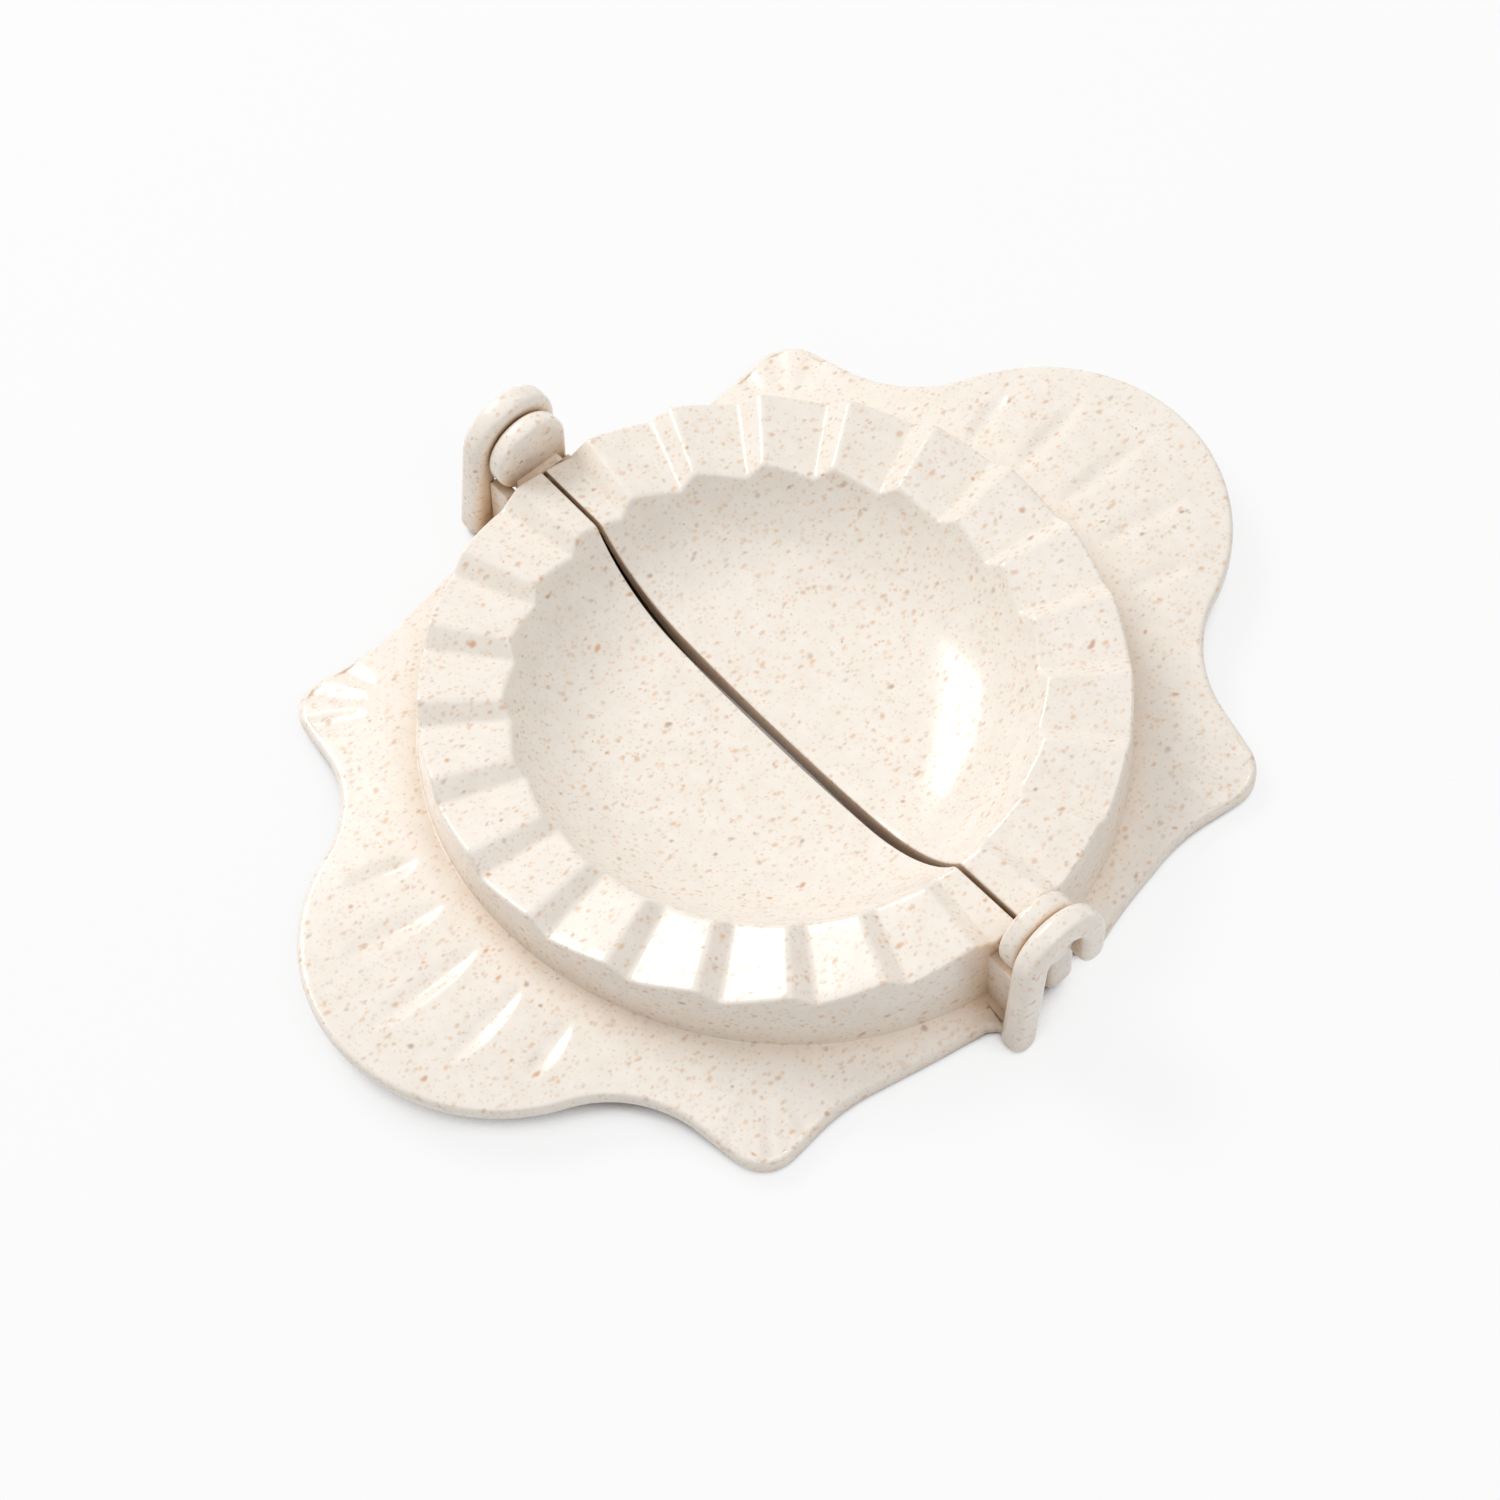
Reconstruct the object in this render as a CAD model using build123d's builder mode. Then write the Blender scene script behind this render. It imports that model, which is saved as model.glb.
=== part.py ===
from build123d import *
import os
from math import asin, cos, degrees, radians, sin, sqrt, tan

# A hand press that folds and crimps a round of dough into a half-moon parcel.
# It is two plastic mouldings, a front half and a rear half, that lie flat side by
# side and snap together at two pivots. Each half carries half a bowl, half a
# toothed crimping rim and a scalloped wing that serves as its handle.
#
# The wings are bowed about the Y axis: their big lobes stand off the table and
# their ends come down to it beside the pivots.
#
# Frame: origin on the table under the middle of the hinge line. X runs along the
# hinge axis, Y across the halves (the front half is at -Y, the rear at +Y), Z up.

# ---- driving dimensions, in mm ----
rim_radius = 44.0            # outer edge of the crimping teeth
rim_level = 13.95            # mid height of the teeth above the table
hinge_level = 15.45          # pivot axis above the table

# crimping teeth
tooth_count = 24
tooth_rise = 0.95            # crest above and trough below the rim level, at the outer edge
facet_share = 0.72           # part of the pitch taken by the gentle facet
crest_land = 0.5             # degrees of flat left along each crest
crest_fall = 0.055           # crests sink this much per mm towards the bowl
trough_fall = 0.015          # troughs sink this much per mm towards the bowl
notch_inner_radius = 29.0
notch_outer_radius = 47.0
notch_headroom = 3.0         # how far a notch cutter stands over the crests

# skirt that carries the rim
skirt_foot_radius = 44.65
skirt_foot_level = 1.0       # its section ends here, below the wing's top, and is trimmed
skirt_inner_radius = 42.2
skirt_foot_inner_radius = 42.8
rim_underside = 11.15

# bowl
bowl_depth = 10.8            # floor below the rim level, at the middle
floor_radius = 170.0         # the floor is almost flat
floor_edge = 18.0            # where the floor turns up into the side
side_radius = 20.2           # curve of the side in section
base_radius = 13.0           # flat underside that rests on the table
underside_radius = 24.2      # curve of the side from the base up, outside

# wings
wing_thickness = 1.8
wing_bow_radius = 236.5      # of the top, about a line along Y far below the table
wing_edge_round = 0.7
lobe_radius = 24.5           # big round lobe on the Y axis
lobe_centre = 44.96
lobe_end_angle = 21.4        # the lobe's arc stops this far above the X direction
valley_end = (34.0, 43.95)   # end of the hollow beside the big lobe
corner_point = (45.4, 41.85)  # sharp corner of the small lobe before rounding
corner_round = 5.1
side_waist = (43.75, 28.3)   # the side edge bends here, beside the small lobe,
side_waist_round = 25.0
side_bend = (46.1, 16.2)     # and again on its way to the hinge
side_bend_round = 60.0
wing_reach = 48.8            # the front wing runs up to the hook plates
front_tip = (47.4, 8.0)      # its edge turns out to the hooks from here
front_heel = (48.2, 6.9)
hinge_corner = 6.7           # Y where it meets the hook plates
rear_tip = (48.2, 9.2)       # the rear wing stops here, short of the hooks
rear_step = (45.5, 6.6)      # and steps in to the pivot discs

# pressed flutes in the wings
flute_radius = 5.0
lobe_flute_depth = 0.4
lobe_flute_start = 48.0
lobe_flutes = {-17.6: 58.2, -9.0: 62.6, 0.0: 65.8, 9.0: 62.6, 17.6: 58.2}  # angle: end radius
corner_fan = (33.4, 31.4)    # the small lobes' flutes spread from here over the edge
corner_flute_depth = 0.25
corner_flute_start = 5.5
corner_flute_end = 17.0
corner_flute_angles = (12.5, 36.5, 60.5)

# parting gap between the halves, as half widths
gap_at_rim = 0.3
gap_at_table = 0.85
cut_top = 27.0
cut_bottom = -2.0
cut_reach = 80.0

# open hooks on the front half
hook_inner_face = 48.8
hook_thickness = 3.55
hook_bar = 3.62              # width of the hook's bar
hook_centre_radius = 4.74    # middle of the bar around the axis
hook_tip_drop = 3.9          # centre of the rounded free end below the axis
hook_lean = 5.0              # degrees that the shank leans outward, going down
hook_outer_round = 0.95
hook_inner_round = 1.3
web_root = 43.3              # webs start inside the skirt wall
front_web_near = 3.2         # the front webs, by their distances from the hinge axis
front_web_far = 5.0
front_web_top = 10.9

# pivot discs, lugs and pins on the rear half
disc_radius = 5.4
disc_inner_face = 45.5
disc_outer_face = 48.6
disc_inner_round = 0.9
disc_outer_round = 1.1
lug_near = 0.94              # the lug under a disc, by its distances from the hinge axis
lug_foot = 0.8               # its underside above the table
lug_corner_round = 1.3
lug_throat_round = 1.0       # between disc and lug
rear_web_top = 11.1
shelf_inner_face = 44.3      # a shelf closes the space between disc and rim
shelf_near = -3.1
shelf_far = 3.6
shelf_low = 11.2
shelf_high = 12.8
pin_radius = 2.83
pin_end_face = 50.7
pin_round = 0.4

halves = {"front": -1, "rear": 1}
ends = {"left": -1, "right": 1}


def section_arc(centre, radius, start_angle, end_angle):
    """An arc of the bowl's section, by its start and end angles in degrees."""
    return CenterArc(centre, radius, start_angle, end_angle - start_angle)


def keep_half(side):
    """Cut the part being built down to one half, with draft on the parting face."""
    slope = (gap_at_table - gap_at_rim) / rim_level
    near_top = gap_at_rim - slope * (cut_top - rim_level)
    near_bottom = gap_at_table - slope * cut_bottom
    with BuildSketch(Plane.YZ) as region:
        with BuildLine():
            Polyline(
                (side * near_top, cut_top),
                (side * cut_reach, cut_top),
                (side * cut_reach, cut_bottom),
                (side * near_bottom, cut_bottom),
                close=True,
            )
        make_face()
    extrude(region.sketch, amount=cut_reach, both=True, mode=Mode.INTERSECT)


def wing_top(x):
    """Height of the wings' bowed top over the table; their ends just touch the table."""
    crown = wing_thickness + wing_bow_radius - sqrt(wing_bow_radius**2 - wing_reach**2)
    return crown - wing_bow_radius + sqrt(wing_bow_radius**2 - x**2)


def bowed_slab(top_drop, bottom_drop):
    """A bowed slab along Y, between two depths below the wings' top surface."""
    centre = wing_top(0) - wing_bow_radius
    with BuildPart() as slab:
        with BuildSketch(Plane.XZ):
            with Locations((0, centre)):
                Circle(wing_bow_radius - top_drop)
                Circle(wing_bow_radius - bottom_drop, mode=Mode.SUBTRACT)
            with Locations((0, 0)):
                Rectangle(2 * cut_reach, 4 * hinge_level, mode=Mode.INTERSECT)
        extrude(amount=cut_reach, both=True)
    return slab.part


# ---- bowl section: centres and angles of its arcs, in the r-z plane ----
floor_centre = (0.0, rim_level - bowl_depth + floor_radius)
turn_angle = degrees(asin(floor_edge / floor_radius))
side_centre_r = (floor_radius - side_radius) * sin(radians(turn_angle))
side_centre_z = floor_centre[1] - (floor_radius - side_radius) * cos(radians(turn_angle))
side_centre = (side_centre_r, side_centre_z)
underside_centre = (base_radius, underside_radius)


def arc_angle(centre, radius, level):
    """Angle on an arc of the section where it reaches a level."""
    return degrees(asin((level - centre[1]) / radius))


def crest_level(radius):
    return rim_level + tooth_rise - crest_fall * (rim_radius - radius)


def trough_level(radius):
    return rim_level - tooth_rise - trough_fall * (rim_radius - radius)


# ---- bowls: nearly flat in the middle and steep at the side, on a flat base ----
def make_bowl(side):
    inner_top = arc_angle(side_centre, side_radius, rim_underside)
    outer_top = arc_angle(underside_centre, underside_radius, rim_underside)
    with BuildPart() as bowl:
        with BuildSketch(Plane.XZ):
            with BuildLine():
                inner_floor = section_arc(floor_centre, floor_radius, -90, -90 + turn_angle)
                inner_side = section_arc(side_centre, side_radius, -90 + turn_angle, inner_top)
                outer_side = section_arc(underside_centre, underside_radius, outer_top, -90)
                Line(inner_side @ 1, outer_side @ 0)
                Polyline(outer_side @ 1, (0, 0), inner_floor @ 0)
            make_face()
        revolve(axis=Axis.Z)
        keep_half(side)
    return bowl


# ---- crimping rims: a toothed ring on a skirt, with webs out to the pivots ----
def cut_notch(centre_angle):
    """Cut one V notch: a gentle facet centred on the angle, and a steep strip before it."""
    pitch = 360 / tooth_count
    facet_half = facet_share * pitch / 2
    strip = pitch - 2 * facet_half - crest_land
    sections = []
    for radius in (notch_inner_radius, notch_outer_radius):
        crest = crest_level(radius)
        trough = trough_level(radius)
        rise = crest - trough
        low = radius * tan(radians(-facet_half))
        high = radius * tan(radians(facet_half))
        strip_top = radius * tan(radians(-facet_half - strip))
        overshoot = 0.05
        facet_run = (high - low) * overshoot
        strip_run = (strip_top - low) * overshoot
        outward = Vector(1, 0, 0).rotate(Axis.Z, centre_angle)
        along = Vector(0, 1, 0).rotate(Axis.Z, centre_angle)
        with BuildSketch(Plane(origin=outward * radius, x_dir=along, z_dir=outward)) as section:
            with BuildLine():
                Polyline(
                    (strip_top + strip_run, crest + notch_headroom),
                    (strip_top + strip_run, crest + rise * overshoot),
                    (low, trough),
                    (high + facet_run, crest + rise * overshoot),
                    (high + facet_run, crest + notch_headroom),
                    close=True,
                )
            make_face()
        sections.append(section.sketch)
    loft(sections, ruled=True, mode=Mode.SUBTRACT)


def make_rim(side, web_near, web_far, web_reach, web_top):
    inner_radius_top = side_centre_r + side_radius
    for _ in range(20):
        drop = crest_level(inner_radius_top) - side_centre_z
        inner_radius_top = side_centre_r + sqrt(side_radius**2 - drop**2)
    inner_top = arc_angle(side_centre, side_radius, crest_level(inner_radius_top))
    inner_bottom = arc_angle(side_centre, side_radius, rim_underside)
    with BuildPart() as rim:
        with BuildSketch(Plane.XZ):
            with BuildLine():
                inner_edge = section_arc(side_centre, side_radius, inner_bottom, inner_top)
                Polyline(
                    inner_edge @ 1,
                    (rim_radius, crest_level(rim_radius)),
                    (skirt_foot_radius, skirt_foot_level),
                    (skirt_foot_inner_radius, skirt_foot_level),
                    (skirt_inner_radius, rim_underside),
                    inner_edge @ 0,
                )
            make_face()
        revolve(axis=Axis.Z)
        for tooth in range(tooth_count):
            cut_notch(tooth * 360 / tooth_count)
        keep_half(side)
        web_length = web_reach - web_root
        web_height = web_top - skirt_foot_level
        for end in ends.values():
            middle = (
                end * (web_root + web_length / 2),
                side * (web_near + web_far) / 2,
                skirt_foot_level + web_height / 2,
            )
            with Locations(middle):
                Box(web_length, web_far - web_near, web_height)
        add(bowed_slab(0, 2 * hinge_level), mode=Mode.SUBTRACT)
    return rim


# ---- wings: bowed scalloped plates with soft edges and fans of pressed flutes ----
def cut_flute(start, end, depth):
    """Press a spindle-shaped groove into the wing's top, deepest halfway along."""
    spine_points = [
        (point.X, point.Y, wing_top(point.X) + flute_radius - sink)
        for point, sink in ((start, 0), ((start + end) / 2, depth), (end, 0))
    ]
    with BuildLine():
        spine = ThreePointArc(*spine_points)
    with BuildSketch(Plane(origin=spine @ 0, z_dir=spine % 0)) as section:
        Circle(flute_radius)
    sweep(section.sketch, path=spine, mode=Mode.SUBTRACT)


def make_wing(side, hinge_end):
    """A wing whose outline follows the given points from the side hollow to the hinge."""
    with BuildPart() as wing:
        with BuildSketch():
            with BuildLine():
                lobe = CenterArc((0, lobe_centre), lobe_radius, 90, lobe_end_angle - 90)
                valley = TangentArc(lobe @ 1, valley_end, tangent=lobe % 1)
                brow = Line(valley @ 1, corner_point)
                Polyline(brow @ 1, side_waist, side_bend, *hinge_end)
                mirror(about=Plane.YZ)
                mirror(about=Plane.XZ)
            make_face()
            for bend, bend_round in edge_bends.items():
                corners = vertices().filter_by(
                    lambda v: abs(abs(v.X) - bend[0]) < 0.01 and abs(abs(v.Y) - bend[1]) < 0.01
                )
                fillet(corners, bend_round)
        extrude(amount=hinge_level)
        add(bowed_slab(0, wing_thickness), mode=Mode.INTERSECT)
        upper = edges().filter_by(lambda e: abs(e.center().Z - wing_top(e.center().X)) < 0.3)
        fillet(upper, wing_edge_round)
        Cylinder(
            skirt_foot_inner_radius,
            hinge_level,
            align=(Align.CENTER, Align.CENTER, Align.MIN),
            mode=Mode.SUBTRACT,
        )
        for angle, end_radius in lobe_flutes.items():
            outward = Vector(0, side, 0).rotate(Axis.Z, angle)
            cut_flute(outward * lobe_flute_start, outward * end_radius, lobe_flute_depth)
        for end in ends.values():
            fan = Vector(end * corner_fan[0], side * corner_fan[1], 0)
            for angle in corner_flute_angles:
                outward = Vector(end * cos(radians(angle)), side * sin(radians(angle)), 0)
                start = fan + outward * corner_flute_start
                cut_flute(start, fan + outward * corner_flute_end, corner_flute_depth)
        keep_half(side)
    return wing


# ---- hooks on the front half: a cane-shaped bar, open below, that holds a pin ----
def make_hook(end):
    inner_plane = Plane(origin=(end * hook_inner_face, 0, 0), x_dir=(0, 1, 0), z_dir=(1, 0, 0))
    half_bar = hook_bar / 2
    shank_drop = hinge_level - half_bar
    foot_y = -hook_centre_radius - shank_drop * tan(radians(hook_lean))
    with BuildPart() as hook:
        with BuildSketch(inner_plane):
            with BuildLine():
                bend = CenterArc((0, hinge_level), hook_centre_radius, 0, 180)
            SlotArc(bend, hook_bar)
            with BuildLine():
                shank = Line((-hook_centre_radius, hinge_level), (foot_y, half_bar))
            with Locations(shank @ 0.5):
                SlotCenterToCenter(shank.length, hook_bar, rotation=90 - hook_lean)
            with Locations((hook_centre_radius, hinge_level - hook_tip_drop / 2)):
                SlotCenterToCenter(hook_tip_drop, hook_bar, rotation=90)
        extrude(amount=end * hook_thickness)
        across = faces().filter_by(Axis.X).sort_by(Axis.X)
        outer_face = across[-1] if end > 0 else across[0]
        inner_face = across[0] if end > 0 else across[-1]
        fillet(outer_face.edges(), hook_outer_round)
        fillet(inner_face.edges(), hook_inner_round)
    return hook


# ---- pivot discs on the rear half: a pebble-like disc standing on a lug ----
def make_disc(end):
    disc_plane = Plane(origin=(end * disc_inner_face, 0, 0), x_dir=(0, 1, 0), z_dir=(1, 0, 0))
    shelf_plane = Plane(origin=(end * shelf_inner_face, 0, 0), x_dir=(0, 1, 0), z_dir=(1, 0, 0))
    with BuildPart() as disc:
        with BuildSketch(disc_plane):
            with BuildLine():
                Polyline(
                    (disc_radius, hinge_level),
                    (disc_radius, lug_foot),
                    (lug_near, lug_foot),
                    (lug_near, hinge_level),
                    close=True,
                )
            make_face()
            with Locations((0, hinge_level)):
                Circle(disc_radius)
            fillet(vertices().group_by(Axis.Z)[0], lug_corner_round)
            throat = vertices().filter_by(lambda v: abs(v.Y - lug_near) < 0.01)
            fillet(throat, lug_throat_round)
        extrude(amount=end * (disc_outer_face - disc_inner_face))
        across = faces().filter_by(Axis.X).sort_by(Axis.X)
        outer_face = across[-1] if end > 0 else across[0]
        inner_face = across[0] if end > 0 else across[-1]
        fillet(outer_face.edges(), disc_outer_round)
        fillet(inner_face.edges(), disc_inner_round)
        with BuildSketch(shelf_plane):
            with Locations(((shelf_near + shelf_far) / 2, (shelf_low + shelf_high) / 2)):
                Rectangle(shelf_far - shelf_near, shelf_high - shelf_low)
        extrude(amount=end * (disc_inner_face + disc_inner_round - shelf_inner_face))
    return disc


# ---- pivot pins on the rear half: stubs that turn inside the hooks ----
def make_pin(end):
    pin_plane = Plane(origin=(end * disc_outer_face, 0, hinge_level), z_dir=(end, 0, 0))
    with BuildPart() as pin:
        with BuildSketch(pin_plane):
            Circle(pin_radius)
        extrude(amount=pin_end_face - disc_outer_face)
        tip = faces().filter_by(Axis.X).sort_by(Axis.X)[-1 if end > 0 else 0]
        fillet(tip.edges(), pin_round)
    return pin


# ---- all pieces, written one STEP file each ----
os.makedirs("parts", exist_ok=True)

webs = {
    "front": (front_web_near, front_web_far, hook_inner_face, front_web_top),
    "rear": (lug_near, disc_radius, disc_inner_face, rear_web_top),
}
hinge_ends = {
    "front": [front_tip, front_heel, (wing_reach, hinge_corner), (wing_reach, 0)],
    "rear": [rear_tip, rear_step, (rear_step[0], 0)],
}

edge_bends = {
    corner_point: corner_round,
    side_waist: side_waist_round,
    side_bend: side_bend_round,
}

pieces = {}
for half, side in halves.items():
    pieces[f"{half}_bowl"] = make_bowl(side)
    pieces[f"{half}_crimp_rim"] = make_rim(side, *webs[half])
    pieces[f"{half}_wing"] = make_wing(side, hinge_ends[half])
for end_name, end in ends.items():
    pieces[f"front_hook_{end_name}"] = make_hook(end)
    pieces[f"rear_pivot_disc_{end_name}"] = make_disc(end)
    pieces[f"rear_pivot_pin_{end_name}"] = make_pin(end)

for name, piece in pieces.items():
    piece.part.label = name
    export_step(piece.part, f"parts/{name}.step")
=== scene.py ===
from math import asin, atan2, ceil, cos, degrees, hypot, pi, radians, sin, sqrt, tan

import bmesh
import bpy
from mathutils import Matrix, Vector


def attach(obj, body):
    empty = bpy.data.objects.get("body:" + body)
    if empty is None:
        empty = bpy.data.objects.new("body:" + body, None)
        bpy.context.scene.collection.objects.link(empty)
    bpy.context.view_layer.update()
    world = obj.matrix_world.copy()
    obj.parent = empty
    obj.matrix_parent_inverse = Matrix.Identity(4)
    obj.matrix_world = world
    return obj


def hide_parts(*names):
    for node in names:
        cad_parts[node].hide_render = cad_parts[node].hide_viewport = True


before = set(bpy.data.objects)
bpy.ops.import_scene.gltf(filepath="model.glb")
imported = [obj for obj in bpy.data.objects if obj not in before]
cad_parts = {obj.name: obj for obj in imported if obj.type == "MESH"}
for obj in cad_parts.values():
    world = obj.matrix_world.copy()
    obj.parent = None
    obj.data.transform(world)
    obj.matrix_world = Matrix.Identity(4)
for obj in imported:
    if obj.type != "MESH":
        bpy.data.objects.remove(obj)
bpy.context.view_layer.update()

mm = 0.001

# ---- bowls ----
# Each half of the press carries half of a shallow dish that holds the filling, almost
# flat in the middle, on a flat base. It is moulded in one shot with the rest of its
# half from polypropylene filled with ground wheat straw.

rim_level = 13.95
bowl_depth = 10.8
floor_radius = 170.0
floor_edge = 18.0
side_radius = 20.2
base_radius = 13.0
underside_radius = 24.2
bowl_top = 11.15             # the crimping rim takes over at this height
parting_round = 0.25         # soft edge along the parting faces
gap_at_rim = 0.3             # half of the gap between the halves, which widens
gap_at_table = 0.85          # downwards with the draft of the parting faces

floor_centre_z = rim_level - bowl_depth + floor_radius
turn = asin(floor_edge / floor_radius)
side_centre_r = (floor_radius - side_radius) * sin(turn)
side_centre_z = floor_centre_z - (floor_radius - side_radius) * cos(turn)


def parting(z):
    """Half of the gap between the halves at a height above the table."""
    return gap_at_rim + (gap_at_table - gap_at_rim) * (rim_level - z) / rim_level


def dish_height(r, settle):
    """Height of the dish's inner surface, sunk by settle near a soft edge."""
    if r < (floor_radius + settle) * sin(turn):
        return floor_centre_z - sqrt((floor_radius + settle) ** 2 - r * r)
    return side_centre_z - sqrt((side_radius + settle) ** 2 - (r - side_centre_r) ** 2)


def dish_reach(settle, level):
    """Radius at which that surface comes up to a level."""
    return side_centre_r + sqrt((side_radius + settle) ** 2 - (side_centre_z - level) ** 2)


def underside_height(r, settle):
    return underside_radius - sqrt(underside_radius**2 - max(r - base_radius, 0.0) ** 2)


underside_reach = base_radius + sqrt(underside_radius**2 - (underside_radius - bowl_top) ** 2)


def soft_edge(size, turns):
    """A quarter round in steps: how far in from each of the two faces it joins."""
    return [(size * (1 - cos(radians(a))), size * (1 - sin(radians(a)))) for a in turns]


def build_mesh(name, solids, finish):
    """One object from closed solids, each a row of equal loops of points in mm."""
    bm = bmesh.new()
    for loops in solids:
        rings = [[bm.verts.new(Vector(point) * mm) for point in loop] for loop in loops]
        count = len(rings[0])
        for ring, following in zip(rings, rings[1:]):
            for i in range(count):
                j = (i + 1) % count
                bm.faces.new((ring[i], ring[j], following[j], following[i]))
        bm.faces.new(rings[0])
        bm.faces.new(rings[-1])
    bmesh.ops.remove_doubles(bm, verts=bm.verts, dist=1e-7)
    bmesh.ops.recalc_face_normals(bm, faces=bm.faces)
    mesh = bpy.data.meshes.new(name)
    bm.to_mesh(mesh)
    bm.free()
    mesh.polygons.foreach_set("use_smooth", [True] * len(mesh.polygons))
    mesh.set_sharp_from_angle(angle=radians(32))
    mesh.materials.append(finish)
    piece = bpy.data.objects.new(name, mesh)
    bpy.context.scene.collection.objects.link(piece)
    return piece


def tone(red, green, blue):
    """A colour written in the usual 0 to 255 steps, as the shader wants it."""
    steps = [step / 255 for step in (red, green, blue)]
    return (*(((s + 0.055) / 1.055) ** 2.4 if s > 0.04045 else s / 12.92 for s in steps), 1.0)


def straw_plastic(name):
    """Glossy cream plastic with flecks of wheat straw all through it, and painted warm shade in its
    creases.
    """
    material = bpy.data.materials.new(name)
    material.use_nodes = True
    nodes = material.node_tree.nodes
    link = material.node_tree.links.new
    shader = nodes["Principled BSDF"]
    place = nodes.new("ShaderNodeTexCoord")

    def wander(size, amount):
        """The place on the object, pushed about by noise so that flecks aren't round."""
        noise = nodes.new("ShaderNodeTexNoise")
        noise.inputs["Scale"].default_value = 1 / size
        noise.inputs["Detail"].default_value = 1.0
        shift = nodes.new("ShaderNodeVectorMath")
        shift.operation = "MULTIPLY_ADD"
        shift.inputs[1].default_value = (amount, amount, amount)
        link(place.outputs["Object"], noise.inputs["Vector"])
        link(noise.outputs["Color"], shift.inputs[0])
        link(place.outputs["Object"], shift.inputs[2])
        return shift.outputs[0]

    def flecks(under, pitch, smallest, largest, soft, tones, strength, stretch):
        """Lay one size of fleck over the colour so far; pitch and sizes in mm."""
        turned = nodes.new("ShaderNodeMapping")
        turned.inputs["Rotation"].default_value = (0.3, 0.2, stretch[1])
        turned.inputs["Scale"].default_value = (1.0, stretch[0], 1.0)
        cells = nodes.new("ShaderNodeTexVoronoi")
        cells.inputs["Scale"].default_value = 1 / (pitch * mm)
        split = nodes.new("ShaderNodeSeparateColor")
        size = nodes.new("ShaderNodeMapRange")
        size.inputs["From Min"].default_value = 0.35
        size.inputs["To Min"].default_value = smallest / pitch
        size.inputs["To Max"].default_value = largest / pitch
        away = nodes.new("ShaderNodeMath")
        away.operation = "DIVIDE"
        mask = nodes.new("ShaderNodeMapRange")
        mask.interpolation_type = "SMOOTHSTEP"
        mask.inputs["From Min"].default_value = 1.0
        mask.inputs["From Max"].default_value = 1.0 - soft
        mask.inputs["To Max"].default_value = strength
        hue = nodes.new("ShaderNodeValToRGB")
        hue.color_ramp.elements.remove(hue.color_ramp.elements[1])
        for step, shade in enumerate(tones):
            at = step / (len(tones) - 1)
            mark = hue.color_ramp.elements[0] if step == 0 else hue.color_ramp.elements.new(at)
            mark.color = tone(*shade)
        over = nodes.new("ShaderNodeMix")
        over.data_type = "RGBA"
        link(wander(pitch * 0.8 * mm, pitch * 0.55 * mm), turned.inputs["Vector"])
        link(turned.outputs["Vector"], cells.inputs["Vector"])
        link(cells.outputs["Color"], split.inputs["Color"])
        link(split.outputs["Red"], size.inputs["Value"])
        link(cells.outputs["Distance"], away.inputs[0])
        link(size.outputs["Result"], away.inputs[1])
        link(away.outputs[0], mask.inputs["Value"])
        link(split.outputs["Green"], hue.inputs["Fac"])
        link(mask.outputs["Result"], over.inputs["Factor"])
        link(under, over.inputs["A"])
        link(hue.outputs["Color"], over.inputs["B"])
        return over.outputs["Result"]

    cloud = nodes.new("ShaderNodeTexNoise")
    cloud.inputs["Scale"].default_value = 1 / (2.6 * mm)
    cloud.inputs["Detail"].default_value = 4.0
    body = nodes.new("ShaderNodeValToRGB")
    body.color_ramp.elements[0].position = 0.3
    body.color_ramp.elements[0].color = tone(244, 235, 224)
    body.color_ramp.elements[1].position = 0.7
    body.color_ramp.elements[1].color = tone(249, 241, 231)
    link(place.outputs["Object"], cloud.inputs["Vector"])
    link(cloud.outputs["Fac"], body.inputs["Fac"])
    colour = body.outputs["Color"]
    dust = ((226, 204, 182), (238, 206, 172), (220, 202, 188))
    tawny = ((218, 184, 156), (230, 190, 150), (208, 188, 174))
    husk = ((204, 162, 132), (226, 174, 126), (182, 160, 146))
    layers = (
        # pitch, smallest, largest, soft, tones, strength, stretch and turn
        (0.62, 0.16, 0.40, 1.0, dust, 0.60, (1.0, 0.0)),
        (0.90, 0.12, 0.48, 0.9, dust, 0.75, (0.7, 0.9)),
        (1.05, 0.10, 0.46, 0.9, tawny, 0.70, (0.7, 0.4)),
        (1.40, 0.10, 0.54, 0.85, tawny, 0.75, (0.65, 1.9)),
        (2.6, 0.12, 0.60, 0.8, husk, 0.85, (0.7, 1.1)),
    )
    for layer in layers:
        colour = flecks(colour, *layer)

    # painted shade: where ambient occlusion within 7 mm finds a crease or hollow, the colour is
    # multiplied darker and warmer, standing in for light that has bounced about in a crease or
    # soaked through a wall
    depth = nodes.new("ShaderNodeAmbientOcclusion")
    depth.samples = 6
    depth.inputs["Distance"].default_value = 7 * mm
    # painted shade ramp: deep brown where a crease is closed, through tan, to white (no change) in
    # the open
    painted_crease_shade = nodes.new("ShaderNodeValToRGB")
    painted_crease_shade.color_ramp.elements[0].position = 0.02
    painted_crease_shade.color_ramp.elements[0].color = (0.34, 0.22, 0.12, 1.0)
    painted_crease_shade.color_ramp.elements[1].position = 0.85
    painted_crease_shade.color_ramp.elements[1].color = (1.0, 1.0, 1.0, 1.0)
    for openness, shade in ((0.22, (0.76, 0.60, 0.44, 1.0)), (0.55, (0.96, 0.89, 0.82, 1.0))):
        painted_crease_shade.color_ramp.elements.new(openness).color = shade
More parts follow.
